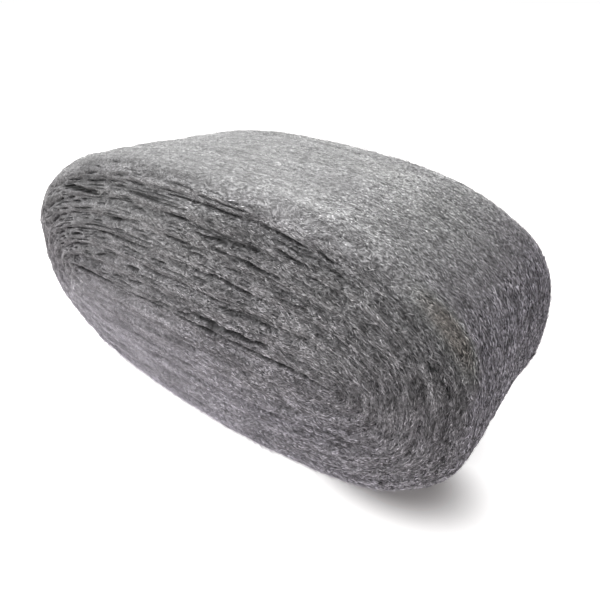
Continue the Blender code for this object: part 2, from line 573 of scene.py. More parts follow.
@dataclass
class WebRelief:
    """What the winding does to the roll's surface: gaps between the layers, tufts and swells.

    Fields:
        winding: Form of the roll.
        tuft_height: Height of the tufts on the end faces.
        wrap_tufts: Share of that height that they have on the wrap.
        tuft_wander: How far the tufts and the grain wander across the web.
        grain_height: Height of the felt's finest grain.
        swell_height: Height of the broad swells.
        felt_run_in: Distances in from the outer turn between which the faces' tufts begin.
        lower_looseness: How open the layers lie in the lower half, 1 being the upper half.
        upper_contrast: How sharply the upper half differs from the lower.
        upper_lead: How far it reaches down.
        tight_end: Shares of the way to the right end between which the layers close up.
        near_tightness: How far they close there on the near face.
        far_tightness: How far they close there on the far face.
        gap_run_in: Distances in from the outer turn between which the gaps begin.
        gap_wander: How far the gaps wander across the turns.
        closed_rim: Part of the rims that the gaps keep further away from.
        closed_rim_width: How much further.
        ragged: Raggedness of the gaps and slits.
        crease_depth: Depth of the crease at the core.
        crease_fade: Distances from the core line between which the crease ends.
        slit_strength: Share of the placed slits' depth that is cut.
        slit_wander: How far the placed slits wander.
        bridged_share: Share of a slit's depth that fibres fill where they bridge it.
        bridging: Values of the bridges' field between which they do.
        wander: Field of the slow wandering.
        ripple: Field of the ragged edges.
        tufts: Field of the tufts.
        grain: Field of the grain.
        swells: Field of the swells.
        bridges: Field of the fibres that bridge the slits.
        gaps: Gaps between the layers, from broad to fine.
    """

    winding: Winding
    tuft_height: float = 0.13 * MM
    wrap_tufts: float = 0.6
    tuft_wander: float = 0.8 * MM
    grain_height: float = 0.13 * MM
    swell_height: float = 0.18 * MM
    felt_run_in: Fade = Fade(0.5 * MM, 3.0 * MM)
    lower_looseness: float = 0.28
    upper_contrast: float = 3.0
    upper_lead: float = 0.8
    tight_end: Fade = Fade(0.15, 0.85)
    near_tightness: float = 0.7
    far_tightness: float = 0.3
    gap_run_in: Fade = Fade(0.8 * MM, 3.0 * MM)
    gap_wander: float = 0.5 * MM
    closed_rim: Stretch = Stretch(64.0, 36.0)
    closed_rim_width: float = 2.0 * MM
    ragged: float = 0.26 * MM
    crease_depth: float = 1.2 * MM
    crease_fade: Fade = Fade(0.0, 0.6 * MM)
    slit_strength: float = 0.8
    slit_wander: float = 0.3 * MM
    bridged_share: float = 0.75
    bridging: Fade = Fade(-0.1, 0.4)
    wander: FeltNoise = FeltNoise(11, 16, 5.0 * MM)
    ripple: FeltNoise = FeltNoise(12, 110, 1.6 * MM)
    tufts: FeltNoise = FeltNoise(15, 64, 2.0 * MM)
    grain: FeltNoise = FeltNoise(16, 150, 0.62 * MM)
    swells: FeltNoise = FeltNoise(18, 16, 9.0 * MM)
    bridges: FeltNoise = FeltNoise(19, 90, 1.8 * MM)
    gaps: tuple[LayerGaps, ...] = (
        LayerGaps(1, 0.22 * MM, 0.55 * MM, Fade(0.10, 0.60), FeltNoise(21, 56, 3.2 * MM)),
        LayerGaps(3, 0.17 * MM, 1.00 * MM, Fade(0.12, 0.45), FeltNoise(22, 84, 1.3 * MM)),
        LayerGaps(6, 0.14 * MM, 0.90 * MM, Fade(0.12, 0.50), FeltNoise(23, 120, 0.7 * MM)),
    )

    def looseness(self, angle: np.ndarray, station: np.ndarray) -> np.ndarray:
        """How open the layers lie: most in the upper left of the near face, least at its right end.

        Args:
            angle: Angles round the turns.
            station: Stations across the web.

        Returns:
            Openness at each place, from 0 to 1.
        """
        upper = 0.5 + 0.5 * np.tanh(self.upper_contrast * np.sin(angle) + self.upper_lead)
        tightness = np.where(station < 0.0, self.near_tightness, self.far_tightness)
        return mix(self.lower_looseness, 1.0, upper) * (1.0 - tightness * self.tight_end.rise(np.cos(angle)))

    def slit(self, angle: np.ndarray, station: np.ndarray) -> np.ndarray:
        """Depth of the dark gaps between the layers, 0 on the wrap.

        Args:
            angle: Angles round the turns.
            station: Stations across the web.

        Returns:
            Depth at each place.
        """
        winding = self.winding
        reach, _ = winding.section(station)
        shift = self.ragged * self.ripple(angle, station) + self.gap_wander * self.wander(angle, station)
        turns_in = winding.turns_in(angle, station) + shift / winding.turn_pitch
        depth = sum(gaps.cut(turns_in, winding.turn_pitch, angle, station) for gaps in self.gaps)
        rim_end = self.closed_rim_width * self.closed_rim.share(angle)
        loose = self.looseness(angle, station) * self.gap_run_in.rise(winding.inward(station) - rim_end)
        crease = self.crease_depth * self.crease_fade.fall(reach * winding.underside)
        return loose * depth + crease + self.placed_slits(angle, station)

    def placed_slits(self, angle: np.ndarray, station: np.ndarray) -> np.ndarray:
        """Depth of the near face's own slits, each wavy and bridged here and there by fibres.

        Args:
            angle: Angles round the turns.
            station: Stations across the web.

        Returns:
            Depth at each place.
        """
        points, _ = self.winding.place(angle, station)
        x, z = points[..., 0], points[..., 2] - self.winding.core_height
        near_face = (station < -self.winding.rim_station).astype(float)
        slow_wave = self.slit_wander * self.wander(angle * 2.0, station * 0.5)
        waved = z - (slow_wave + self.ragged * self.ripple(angle, station))
        depth = self.slit_strength * sum(slit.cut(x, waved) for slit in NEAR_SLITS)
        bridged = self.bridged_share * self.bridging.rise(self.bridges(angle, station))
        return depth * near_face * (1.0 - bridged)

    def height(self, angle: np.ndarray, station: np.ndarray) -> np.ndarray:
        """Height of the felt over the smooth roll, slits and all.

        Args:
            angle: Angles round the turns.
            station: Stations across the web.

        Returns:
            Height at each place, below 0 in the valleys and slits.
        """
        on_face = self.felt_run_in.rise(self.winding.inward(station))
        waved = station + self.tuft_wander * self.wander(angle, station)
        tuft = self.tuft_height * mix(self.wrap_tufts, 1.0, on_face) * self.tufts(angle, waved)
        grain = self.grain_height * self.grain(angle, waved)
        swell = self.swell_height * self.swells(angle, station)
        return tuft + grain + swell - self.winding.valley(angle, station) - self.slit(angle, station)

    def points(self, angle: np.ndarray, station: np.ndarray, above: Values = 0.0) -> np.ndarray:
        """Places on the felted surface, or the given distance above it.

        Args:
            angle: Angles round the turns.
            station: Stations across the web.
            above: Distance outwards from the felt's surface.

        Returns:
            Points with X, Y and Z on the last axis.
        """
        smooth, normal = self.winding.place(angle, station)
        made = smooth + normal * (self.height(angle, station) + above)[..., None]
        made[..., 2] = np.maximum(made[..., 2], 0.0)
        return made


# Painted light and shade: most tones here brighten or darken parts of the roll as light falls on them, beside
# the steel's real tint.
@dataclass
class PatinaAndPaintedLight:
    """How bright and how tinted the steel is from place to place, before single fibres differ.

    Each tone is the brightness of its part of the roll, where 1 is that of the wrap's top; most of these
    tones are painted light and shade. Each pair of shares stands for the wrap and for the end faces.

    Fields:
        winding: Form of the roll.
        face_shade_tone: Tone of the end faces, darker as painted shade between their layers.
        face: Distances in from the outer turn between which they begin.
        right_end_shade_tone: Tone of the right end, darker as painted shade.
        right_end: Part of the turn that it is.
        end_share_on_face: Share of that painted shade that the end faces get.
        left_end_shade_tone: Tone of the wrap's left end, darkened as painted shade against the light from the
            left.
        left_end: Part of the turn that it is.
        left_end_stations: Stations between which it begins, past the near rim.
        upper_left_shade_tone: Tone of the end faces' upper left, darker as painted shade.
        upper_left: Part of the turn that it is.
        shoulder_light_tone: Tone of the shoulder over the right end, brighter as painted light.
        rim_light_tone: Tone of the near rim there, brighter as a painted highlight.
        shoulder: Part of the turn that the shoulder is.
        shoulder_inward: Distances in from the outer turn between which it ends.
        rim_distance: Distances towards the near face between which the rim's tone takes over.
        bounce_light_tone: Tone of the painted bounce light at the near face's lower left.
        lower_left: Part of the turn that it is.
        bounce_light_inward: Distances in from the outer turn between which it ends.
        bounce_light_stations: Stations between which it ends on the wrap.
        calm_bounce_light: How evenly toned the fibres under that painted bounce light are.
        calm_left: How evenly toned the near face's left half is.
        calm_top: How evenly toned the wrap's top is.
        most_calm: Limit of that evenness.
        left_half: Places along X between which the left half ends.
        near_rim: Distances past the near rim between which the near face begins.
        top: Part of the turn that the top is.
        cloud_share: Strength of the clouds in the tone.
        band_share: Strength of the bands.
        line_shares: Strength of the lines.
        fleck_shares: Strength of the flecks.
        lavender_below: Strength of the lavender tint low on the roll.
        lavender_contrast: How sharply it begins.
        lavender_lead: How far below the core line it begins.
        lavender_at_end: Strength of that tint at the wrap's right end.
        lavender_end: Part of the turn that this end is.
        lavender_on_face: Strength of that tint on the end faces.
        oil_strength: Strength of the olive streak of oil.
        oiled: Part of the turn that the streak runs along.
        oil_station: Station of the streak.
        oil_width: Half width of the streak.
        cloud_tint: Strength of the clouds in the tint.
        tint_limits: Least and greatest tint.
        clouds: Field of the broad clouds.
        bands: Field of the bands along the winding.
        lines: Field of the thin lines along the winding.
        flecks: Field of the flecks.
    """

    winding: Winding
    # Painted shade: the end faces are darker, for the shade between their layers.
    face_shade_tone: float = 0.86
    face: Fade = Fade(0.0, 3.5 * MM)
    # Painted shade: the right end is darker, as the side turned away from the light.
    right_end_shade_tone: float = 0.62
    right_end: Stretch = Stretch(15.0, 70.0)
    end_share_on_face: float = 0.4
    # Painted shade: the wrap's left end is darkened against the light that falls on it from the left.
    left_end_shade_tone: float = 0.66
    left_end: Stretch = Stretch(195.0, 85.0)
    left_end_stations: Fade = Fade(-17.0 * MM, -9.0 * MM)
    # Painted shade: the end faces' upper left is darker.
    upper_left_shade_tone: float = 0.87
    upper_left: Stretch = Stretch(125.0, 48.0)
    # Painted light: the shoulder over the right end and the near rim there are brightened as a highlight.
    shoulder_light_tone: float = 1.12
    rim_light_tone: float = 1.40
    shoulder: Stretch = Stretch(60.0, 34.0)
    shoulder_inward: Fade = Fade(2.5 * MM, 6.0 * MM)
    rim_distance: Fade = Fade(13.0 * MM, 18.0 * MM)
    # Painted light: the near face's lower left is brightened, as light thrown up from the white table.
    bounce_light_tone: float = 1.7
    lower_left: Stretch = Stretch(228.0, 95.0)
    bounce_light_inward: Fade = Fade(16.0 * MM, 30.0 * MM)
    bounce_light_stations: Fade = Fade(-19.5 * MM, -5.0 * MM)
    calm_bounce_light: float = 0.7
    calm_left: float = 0.6
    calm_top: float = 0.5
    most_calm: float = 0.85
    left_half: Fade = Fade(-45.0 * MM, 5.0 * MM)
    near_rim: Fade = Fade(0.0, 2.0 * MM)
    top: Stretch = Stretch(110.0, 60.0)
    cloud_share: float = 0.08
    band_share: float = 0.08
    line_shares: tuple[float, float] = (0.12, 0.40)
    fleck_shares: tuple[float, float] = (0.10, 0.16)
    lavender_below: float = 0.42
    lavender_contrast: float = 1.6
    lavender_lead: float = 0.1
    lavender_at_end: float = 0.42
    lavender_end: Stretch = Stretch(8.0, 48.0)
    lavender_on_face: float = 0.06
    oil_strength: float = 0.95
    oiled: Stretch = Stretch(25.0, 21.0)
    oil_station: float = -19.2 * MM
    oil_width: float = 1.4 * MM
    cloud_tint: float = 0.04
    tint_limits: tuple[float, float] = (0.02, 0.98)
    clouds: FeltNoise = FeltNoise(31, 20, 6.0 * MM)
    bands: FeltNoise = FeltNoise(32, 5, 2.6 * MM)
    lines: FeltNoise = FeltNoise(33, 52, 0.46 * MM)
    flecks: FeltNoise = FeltNoise(34, 150, 0.9 * MM)

    def painted_bounce_light(self, angle: np.ndarray, station: np.ndarray) -> np.ndarray:
        """Share, from 0 to 1, of painted bounce light at the near face's lower left.

        Args:
            angle: Angles round the turns.
            station: Stations across the web.

        Returns:
            The share at each place.
        """
        outer = self.bounce_light_inward.fall(self.winding.inward(station))
        return self.lower_left.share(angle) * outer * self.bounce_light_stations.fall(station)

    def calm(self, angle: np.ndarray, station: np.ndarray) -> np.ndarray:
        """How evenly toned the fibres are: 0 with their full spread, 1 all alike.

        Args:
            angle: Angles round the turns.
            station: Stations across the web.

        Returns:
            The evenness at each place.
        """
        points, _ = self.winding.place(angle, station)
        near_face = self.near_rim.rise(-station - self.winding.rim_station)
        left = self.left_half.fall(points[..., 0]) * near_face
        top = self.top.share(angle) * (1.0 - near_face)
        calm = self.calm_bounce_light * self.painted_bounce_light(angle, station) + self.calm_left * left + self.calm_top * top
        return np.clip(calm, 0.0, self.most_calm)

    def tone(self, angle: np.ndarray, station: np.ndarray) -> np.ndarray:
        """Brightness of the steel, 1 on the wrap's top and less on the web's cut edges, with painted shade
        and painted light from part to part.

        Args:
            angle: Angles round the turns.
            station: Stations across the web.

        Returns:
            Brightness at each place.
        """
        inward = self.winding.inward(station)
        on_face = self.face.rise(inward)
        right_end = self.right_end.share(angle) * mix(1.0, self.end_share_on_face, on_face)
        left_end = self.left_end.share(angle) * (1.0 - on_face) * self.left_end_stations.rise(station)
        upper_left = self.upper_left.share(angle) * on_face
        shoulder = self.shoulder.share(angle) * self.shoulder_inward.fall(inward)
        # Painted shade darkens the end faces, the right end, the faces' upper left and the wrap's left end;
        # painted light brightens the shoulder, the near rim and the near face's lower left.
        shoulder_light_tone = mix(self.shoulder_light_tone, self.rim_light_tone, self.rim_distance.rise(-station))
        tone = mix(1.0, self.face_shade_tone, on_face) * mix(1.0, self.right_end_shade_tone, right_end)
        tone = tone * mix(1.0, self.bounce_light_tone, self.painted_bounce_light(angle, station)) * mix(1.0, shoulder_light_tone, shoulder)
        tone = tone * mix(1.0, self.upper_left_shade_tone, upper_left) * mix(1.0, self.left_end_shade_tone, left_end)
        broad = self.cloud_share * self.clouds(angle, station) + self.band_share * self.bands(angle, station)
        fine = mix(*self.line_shares, on_face) * self.lines(angle, station)
        fine = fine + mix(*self.fleck_shares, on_face) * self.flecks(angle, station)
        return tone * (1.0 + broad + fine)

    def tint(self, angle: np.ndarray, station: np.ndarray) -> np.ndarray:
        """Tint of the steel, from 0, lavender, through 0.5, grey, to 1, olive.

        Args:
            angle: Angles round the turns.
            station: Stations across the web.

        Returns:
            Tint at each place.
        """
        points, _ = self.winding.place(angle, station)
        level = (points[..., 2] - self.winding.core_height) / self.winding.underside
        below = 0.5 - 0.5 * np.tanh(self.lavender_contrast * level + self.lavender_lead)
        on_face = self.face.rise(self.winding.inward(station))
        right_end = self.lavender_end.share(angle) * (1.0 - on_face)
        lavender = self.lavender_below * below + self.lavender_at_end * right_end
        lavender = lavender + self.lavender_on_face * on_face
        oiled = self.oiled.share(angle) * np.exp(-((station - self.oil_station) / self.oil_width) ** 2)
        tint = 0.5 - lavender + self.oil_strength * oiled + self.cloud_tint * self.clouds(angle, station)
        return np.clip(tint, *self.tint_limits)


def feed(tree: bpy.types.NodeTree, node: bpy.types.Node, values: dict[str | int, Feed]) -> None:
    """Gives a node's inputs what they read.

    Args:
        tree: Tree that holds the node.
        node: The node.
        values: For each input, by name or number, a plain value or the socket that feeds it.
    """
    for name, value in values.items():
        if isinstance(value, bpy.types.NodeSocket):
            tree.links.new(value, node.inputs[name])
        else:
            node.inputs[name].default_value = value


def add_node(tree: bpy.types.NodeTree, kind: str, values: dict[str | int, Feed] | None = None,
             **settings: Setting) -> bpy.types.Node:
    """Adds a node to a tree.

    Args:
        tree: Tree that gets the node.
        kind: Type of the node.
        values: What each input reads, as in feed.
        settings: Properties of the node, which are set before its inputs.

    Returns:
        The node.
    """
    node = tree.nodes.new(kind)
    for name, setting in settings.items():
        setattr(node, name, setting)
    feed(tree, node, values or {})
    return node


def set_ramp(ramp: bpy.types.Node, stops: dict[float, Colour]) -> None:
    """Gives a colour ramp its stops.

    Args:
        ramp: The colour ramp node.
        stops: Colour at each place, in order.
    """
    elements = ramp.color_ramp.elements
    while len(elements) > 1:
        elements.remove(elements[-1])
    for index, (place, colour) in enumerate(stops.items()):
        stop = elements[0] if index == 0 else elements.new(place)
        stop.position = place
        stop.color = (*colour, 1.0)


def new_group(
        name: str, inputs: dict[str, str], outputs: dict[str, str],
) -> tuple[bpy.types.NodeTree, bpy.types.Node, bpy.types.Node]:
    """Starts a shader node group.

    Args:
        name: Name of the group.
        inputs: Kind of each input, by its name.
        outputs: Kind of each output, by its name.

    Returns:
        The group, the node that holds its inputs and the node that holds its outputs.
    """
    group = bpy.data.node_groups.new(name, "ShaderNodeTree")
    for side, sockets in (("INPUT", inputs), ("OUTPUT", outputs)):
        for socket, kind in sockets.items():
            group.interface.new_socket(name=socket, in_out=side, socket_type=f"NodeSocket{kind}")
    return group, group.nodes.new("NodeGroupInput"), group.nodes.new("NodeGroupOutput")


def new_material(name: str) -> tuple[bpy.types.Material, bpy.types.NodeTree, bpy.types.Node]:
    """Starts a material.

    Args:
        name: Name of the material.

    Returns:
        The material, its node tree and its surface shader.
    """
    made = bpy.data.materials.new(name)
    made.use_nodes = True
    return made, made.node_tree, made.node_tree.nodes["Principled BSDF"]


@dataclass(frozen=True)
class FibreStreaks:
    """Effect that draws streaks of fibre along the winding.

    Fields:
        bend_scale: Scale of the slow noise that bends the streaks.
        bend_detail: Detail of that noise.
        bend_size: How far it bends them, in millimetres across the web.
        detail: Detail of the streaks.
        roughness: How rough the streaks' finer detail is.
    """

    bend_scale: float = 0.45
    bend_detail: float = 2.0
    bend_size: float = 2.6
    detail: float = 3.0
    roughness: float = 0.62

    def group(self) -> bpy.types.NodeTree:
        """Builds the effect.

        Returns:
            The group, with inputs Path, Along, Across and Shift, and an output Tone from 0 to 1.
        """
        inputs = {"Path": "Vector", "Along": "Float", "Across": "Float", "Shift": "Float"}
        group, given, made = new_group("fibre_streaks", inputs, {"Tone": "Float"})
        path = given.outputs["Path"]
        bend = add_node(group, "ShaderNodeTexNoise", {
            "Vector": path, "Scale": self.bend_scale, "Detail": self.bend_detail})
        parts = add_node(group, "ShaderNodeSeparateXYZ", {"Vector": path}).outputs
        drift = add_node(group, "ShaderNodeMath", {
            0: bend.outputs["Fac"], 1: self.bend_size, 2: parts["Z"]}, operation="MULTIPLY_ADD")
        sources = ((parts["X"], "Along"), (parts["Y"], "Along"), (drift.outputs["Value"], "Across"))
        x, y, z = (
            add_node(group, "ShaderNodeMath", {0: source, 1: given.outputs[factor]}, operation="MULTIPLY")
            for source, factor in sources)
        shifted = add_node(group, "ShaderNodeMath", {
            0: z.outputs["Value"], 1: given.outputs["Shift"]}, operation="ADD")
        place = add_node(group, "ShaderNodeCombineXYZ", {
            "X": x.outputs["Value"], "Y": y.outputs["Value"], "Z": shifted.outputs["Value"]})
        noise = add_node(group, "ShaderNodeTexNoise", {
            "Vector": place.outputs["Vector"], "Scale": 1.0, "Detail": self.detail,
            "Roughness": self.roughness})
        feed(group, made, {"Tone": noise.outputs["Fac"]})
        return group


@dataclass(frozen=True)
class SteelColour:
    """Effect that gives steel its colour from a tone and a tint.

    Fields:
        lavender: Cast of the most bluish steel.
        bluish: Cast half way from there to grey.
        grey: Cast of plain steel.
        olive: Cast of the most oiled steel.
    """

    lavender: Colour = (0.935, 0.885, 1.0)
    bluish: Colour = (0.985, 0.945, 1.0)
    grey: Colour = (0.985, 0.985, 0.985)
    olive: Colour = (1.0, 0.925, 0.86)

    def group(self) -> bpy.types.NodeTree:
        """Builds the effect.

        Returns:
            The group, with inputs Tone and Tint, both from 0 to 1, and an output Color.
        """
        inputs = {"Tone": "Float", "Tint": "Float"}
        group, given, made = new_group("steel_colour", inputs, {"Color": "Color"})
        cast = add_node(group, "ShaderNodeValToRGB", {"Fac": given.outputs["Tint"]})
        set_ramp(cast, {0.0: self.lavender, 0.25: self.bluish, 0.5: self.grey, 1.0: self.olive})
        scaled = add_node(group, "ShaderNodeVectorMath", {
            0: cast.outputs["Color"], "Scale": given.outputs["Tone"]}, operation="SCALE")
        feed(group, made, {"Color": scaled.outputs["Vector"]})
        return group


@dataclass(frozen=True)
class FeltFinish:
    """Finish of the packed fibres: dull grey steel, streaked along the winding, with painted shade in the
    slits.

    Fields:
        colour: Effect that colours the steel.
        streaks: Effect that draws the streaks.
        darkest: Tone of the painted shade in the deepest slit.
        dark: Tone of the dark streaks.
        middle: Tone of the felt between its streaks; the felt's tones are kept low, partly as painted shade
            under the loose fibres.
        bright: Tone of the bright streaks.
        stops: Heights of the streaks' noise at which those three tones are reached.
        fine: Scale along the winding, scale across it and shift of the fine streaks.
        broad: The same for the broad streaks.
        broad_share: Share of the broad streaks in the felt's tone.
        roughness: Roughness of the dark and of the bright streaks.
        metallic: How metallic the felt is.
        bump_strength: Strength of the streaks' relief.
        bump_distance: Height of the streaks' relief.
    """

    colour: bpy.types.NodeTree
    streaks: bpy.types.NodeTree
    darkest: float = 0.022
    # Painted shade in part: the felt's tones are kept low for the shade under the loose fibres.
    dark: float = 0.030
    middle: float = 0.17
    bright: float = 0.50
    stops: tuple[float, float, float] = (0.34, 0.5, 0.66)
    fine: tuple[float, float, float] = (1.5, 3.4, 0.0)
    broad: tuple[float, float, float] = (0.2, 1.1, 7.3)
    broad_share: float = 0.22
    roughness: tuple[float, float] = (0.75, 0.45)
    metallic: float = 0.3
    bump_strength: float = 0.9
    bump_distance: float = 0.14 * MM

    def streak_tone(self, tree: bpy.types.NodeTree, sizes: tuple[float, ...]) -> bpy.types.NodeSocket:
        """Places one set of streaks.

        Args:
            tree: The material's node tree.
            sizes: Scale along the winding, scale across it and shift.

        Returns:
            Socket that gives the streaks' tone.
        """
        path = add_node(tree, "ShaderNodeAttribute", attribute_name=PATH_ATTRIBUTE)
        values = dict(zip(("Along", "Across", "Shift"), sizes), Path=path.outputs["Vector"])
        return add_node(tree, "ShaderNodeGroup", values, node_tree=self.streaks).outputs["Tone"]

    def material(self) -> bpy.types.Material:
        """Builds the material.

        Returns:
            The material, which reads the felt's own attributes.
        """
        made, tree, surface = new_material("felted_steel")
        slit, region_tone_and_light, tint, calm = (
            add_node(tree, "ShaderNodeAttribute", attribute_name=name).outputs["Fac"]
            for name in (SLIT_SHADE_ATTRIBUTE, TONE_AND_LIGHT_ATTRIBUTE, TINT_ATTRIBUTE, CALM_ATTRIBUTE))
        fine, broad = self.streak_tone(tree, self.fine), self.streak_tone(tree, self.broad)
        streak = add_node(tree, "ShaderNodeMix", {
            "Factor": self.broad_share, "A": fine, "B": broad}, data_type="FLOAT")
        ramp = add_node(tree, "ShaderNodeValToRGB", {"Fac": streak.outputs["Result"]})
        greys = (self.dark, self.middle, self.bright)
        set_ramp(ramp, {place: (grey,) * 3 for place, grey in zip(self.stops, greys)})
        evened = add_node(tree, "ShaderNodeMix", {
            "Factor": calm, "A": ramp.outputs["Color"], "B": self.middle}, data_type="FLOAT")
        # Painted shade: the felt is darkened towards the darkest tone in the slits.
        shaded = add_node(tree, "ShaderNodeMix", {
            "Factor": slit, "A": evened.outputs["Result"], "B": self.darkest}, data_type="FLOAT")
        tone = add_node(tree, "ShaderNodeMath", {
            0: shaded.outputs["Result"], 1: region_tone_and_light}, operation="MULTIPLY")
        steel = add_node(tree, "ShaderNodeGroup", {"Tone": tone.outputs["Value"], "Tint": tint},
                         node_tree=self.colour)
        dull, shiny = self.roughness
        rough = add_node(tree, "ShaderNodeMapRange", {"Value": fine, "To Min": dull, "To Max": shiny})
        bump = add_node(tree, "ShaderNodeBump", {
            "Height": fine, "Strength": self.bump_strength, "Distance": self.bump_distance})
        feed(tree, surface, {
            "Base Color": steel.outputs["Color"], "Roughness": rough.outputs["Result"],
            "Normal": bump.outputs["Normal"], "Metallic": self.metallic})
        return made


@dataclass(frozen=True)
class FibreFinish:
    """Finish of the loose fibres: steel from dull to shiny, fibre by fibre, by their own map.

    Fields:
        colour: Effect that colours the steel.
        roughness: Roughness of the dullest and of the shiniest fibre.
        metallic: How metallic the fibres are.
    """

    colour: bpy.types.NodeTree
    roughness: tuple[float, float] = (0.62, 0.30)
    metallic: float = 0.35

    def material(self) -> bpy.types.Material:
        """Builds the material: the map's U is the fibre's tone and its V the fibre's tint.

        Returns:
            The material.
        """
        made, tree, surface = new_material("steel_fibre")
        fibre_map = add_node(tree, "ShaderNodeUVMap", uv_map=FIBRE_MAP)
        parts = add_node(tree, "ShaderNodeSeparateXYZ", {"Vector": fibre_map.outputs["UV"]}).outputs
        steel = add_node(tree, "ShaderNodeGroup", {"Tone": parts["X"], "Tint": parts["Y"]},
                         node_tree=self.colour)
        dull, shiny = self.roughness
        rough = add_node(tree, "ShaderNodeMapRange", {"Value": parts["X"], "To Min": dull, "To Max": shiny})
        feed(tree, surface, {
            "Base Color": steel.outputs["Color"], "Roughness": rough.outputs["Result"],
            "Metallic": self.metallic})
        return made


@dataclass
class FeltedBody:
    """The wound web itself: a closed padded form with its turns, slits and tufts.

    Fields:
        relief: Its surface.
        patina_and_light: Tone and tint of its steel, with painted light and shade.
        columns: Faces round a turn.
        near_rings: Rings across the near end face.
        wrap_rings: Rings across the wrap.
        far_rings: Rings across the far end face.
        path_radius: Radius, in millimetres, of the circle on which the streaks' path runs.
        slit_shade: How dark the painted shade in the deepest slit is, from 0 to 1.
        slit_fade: Depths between which the painted shade in a slit sets in.
        pole_radius: Radius on the starting ball within which a vertex counts as its pole.
    """

    relief: WebRelief
    patina_and_light: PatinaAndPaintedLight
    columns: int = 400
    near_rings: int = 132
    wrap_rings: int = 62
    far_rings: int = 52
    path_radius: float = 44.0
    slit_shade: float = 0.88
    slit_fade: Fade = Fade(0.12 * MM, 1.0 * MM)
    pole_radius: float = 1e-5

    def stations(self, ring: np.ndarray) -> np.ndarray:
        """Stations of the form's rings.

        Args:
            ring: Numbers of rings, counted from the near core.

        Returns:
            Station of each ring.
        """
        winding = self.relief.winding
        rings = np.cumsum((0, self.near_rings, self.wrap_rings, self.far_rings))
        rims = (-winding.last_station, -winding.rim_station, winding.rim_station, winding.last_station)
        return np.interp(ring, rings, rims)

    def build(self, finish: bpy.types.Material) -> bpy.types.Object:
        """Shapes and dresses the body.

        Args:
            finish: Material of the packed fibres.

        Returns:
            The body, closed, with its place in its mesh.
        """
        rings = self.near_rings + self.wrap_rings + self.far_rings
        deselect_all()
        bpy.ops.mesh.primitive_uv_sphere_add(segments=self.columns, ring_count=rings, radius=1.0)
        body = bpy.context.active_object
        body.name = body.data.name = "felted_web"
        mesh = body.data
        ball = np.empty(len(mesh.vertices) * 3)
        mesh.vertices.foreach_get("co", ball)
        around, upward, axial = ball.reshape(-1, 3).T
        off_axis = np.hypot(around, upward)
        angle = np.where(off_axis > self.pole_radius, np.arctan2(upward, around), math.pi / 2.0)
        station = self.stations((0.5 - np.arctan2(axial, off_axis) / math.pi) * rings)
        mesh.vertices.foreach_set("co", self.relief.points(angle, station).ravel())
        self.write_attributes(mesh, angle, station)
        mesh.update()
        mesh.shade_smooth()
        mesh.materials.append(finish)
        return body

    def write_attributes(self, mesh: bpy.types.Mesh, angle: np.ndarray, station: np.ndarray) -> None:
        """Keeps each vertex's place along the winding in millimetres, its painted slit shade, its tone with
        painted light and shade, its tint and its calm.

        Args:
            mesh: The body's mesh.
            angle: Angle of each vertex round the turns.
            station: Station of each vertex.
        """
        radius = self.path_radius
        path = np.stack([radius * np.cos(angle), radius * np.sin(angle), station / MM], -1)
        kept = mesh.attributes.new(PATH_ATTRIBUTE, "FLOAT_VECTOR", "POINT")
        kept.data.foreach_set("vector", path.astype(np.float32).ravel())
        values = {
            # Painted shade in the slits, from their depth.
            SLIT_SHADE_ATTRIBUTE: self.slit_shade * self.slit_fade.rise(self.relief.slit(angle, station)),
            TONE_AND_LIGHT_ATTRIBUTE: self.patina_and_light.tone(angle, station),
            TINT_ATTRIBUTE: self.patina_and_light.tint(angle, station),
            CALM_ATTRIBUTE: self.patina_and_light.calm(angle, station),
        }
        for name, value in values.items():
            kept = mesh.attributes.new(name, "FLOAT", "POINT")
            kept.data.foreach_set("value", value.astype(np.float32))


# Steps that make a three-sided cone a sliver with a point at both ends
TIP_STEP = (0.0, 0.0, 0.5)
TAIL_STEP = (0.0, -1.0, -0.5)
FLANK_STEP = (0.0, -0.4, 0.5)

# Shares of its surplus sag that a short fibre's ends take on and its middle gives up
STRAIGHTENING = np.array([0.5, -0.5, 0.5])


def move_corner(piece: bpy.types.Object, chosen: list[bool], step: tuple[float, float, float]) -> None:
    """Moves some corners of the active piece, in Edit Mode.

    Args:
        piece: The active piece.
        chosen: For each vertex, whether it moves.
        step: How far the chosen ones move.
    """
    for part in (piece.data.polygons, piece.data.edges):
        part.foreach_set("select", np.zeros(len(part), bool))
    piece.data.vertices.foreach_set("select", chosen)
    bpy.ops.object.mode_set(mode="EDIT")
    bpy.ops.transform.translate(value=step)
    bpy.ops.object.mode_set(mode="OBJECT")


def model_fibre(shape: FibreShape) -> bpy.types.Object:
    """Models one fibre of unit size: three-sided, as shaved steel is, and pointed at both ends.

    Args:
        shape: Whether it is cut into rings, so that it can bend, or left as a plain sliver.

    Returns:
        The fibre, along Z from -1 to 1, about 2 wide in the middle.
    """
    deselect_all()
    bpy.ops.mesh.primitive_cone_add(vertices=3, radius1=1.0, radius2=0.0, depth=1.0)
    fibre = bpy.context.active_object
    corners = [vertex.co.copy() for vertex in fibre.data.vertices]
    move_corner(fibre, [corner.z > 0.0 for corner in corners], TIP_STEP)
    move_corner(fibre, [corner.z < 0.0 < corner.y for corner in corners], TAIL_STEP)
    move_corner(fibre, [corner.z < 0.0 and corner.y < 0.0 for corner in corners], FLANK_STEP)
    bpy.ops.object.mode_set(mode="EDIT")
    for height in shape.value:
        bpy.ops.mesh.select_all(action="SELECT")
        bpy.ops.mesh.bisect(plane_co=(0.0, 0.0, height), plane_no=(0.0, 0.0, 1.0))
    bpy.ops.mesh.select_all(action="SELECT")
    bpy.ops.mesh.normals_make_consistent(inside=False)
    bpy.ops.object.mode_set(mode="OBJECT")
    return fibre


